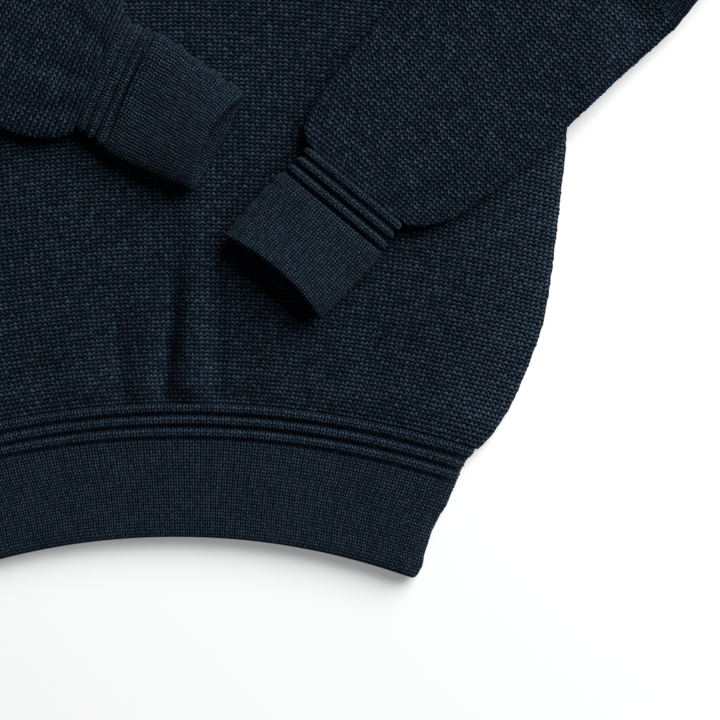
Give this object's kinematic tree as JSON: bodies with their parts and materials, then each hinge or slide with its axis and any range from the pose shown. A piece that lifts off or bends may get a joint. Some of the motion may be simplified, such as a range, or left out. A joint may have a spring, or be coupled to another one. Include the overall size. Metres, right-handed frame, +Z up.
{
  "type": "turtleneck sweater",
  "caption": "Heavy knitted turtleneck sweater laid flat on its back, sleeves folded in over the front, ridged hem and cuff bands.",
  "frame": {"origin": "on the floor, in the middle of the part's footprint", "axes": "+Z up from the floor the sweater lies on, +Y from hem to collar, +X across the body, to the viewer's right when seen from above with the collar away from the viewer"},
  "size_m": [0.7974, 0.793, 0.0365],
  "materials": {
    "body_knit": "thick dark navy half-cardigan knit, matt wool",
    "band_knit": "dense dark navy jersey knitted double, matt wool"
  },
  "bodies": {
    "root": {"front": "body_knit", "back": "body_knit", "hem_front": "band_knit", "hem_back": "band_knit", "sleeve_right": "body_knit", "sleeve_left": "body_knit", "forearm_right": "body_knit", "forearm_left": "body_knit", "cuff_right": "band_knit", "cuff_left": "band_knit", "collar": "band_knit"}
  },
  "joints": []
}
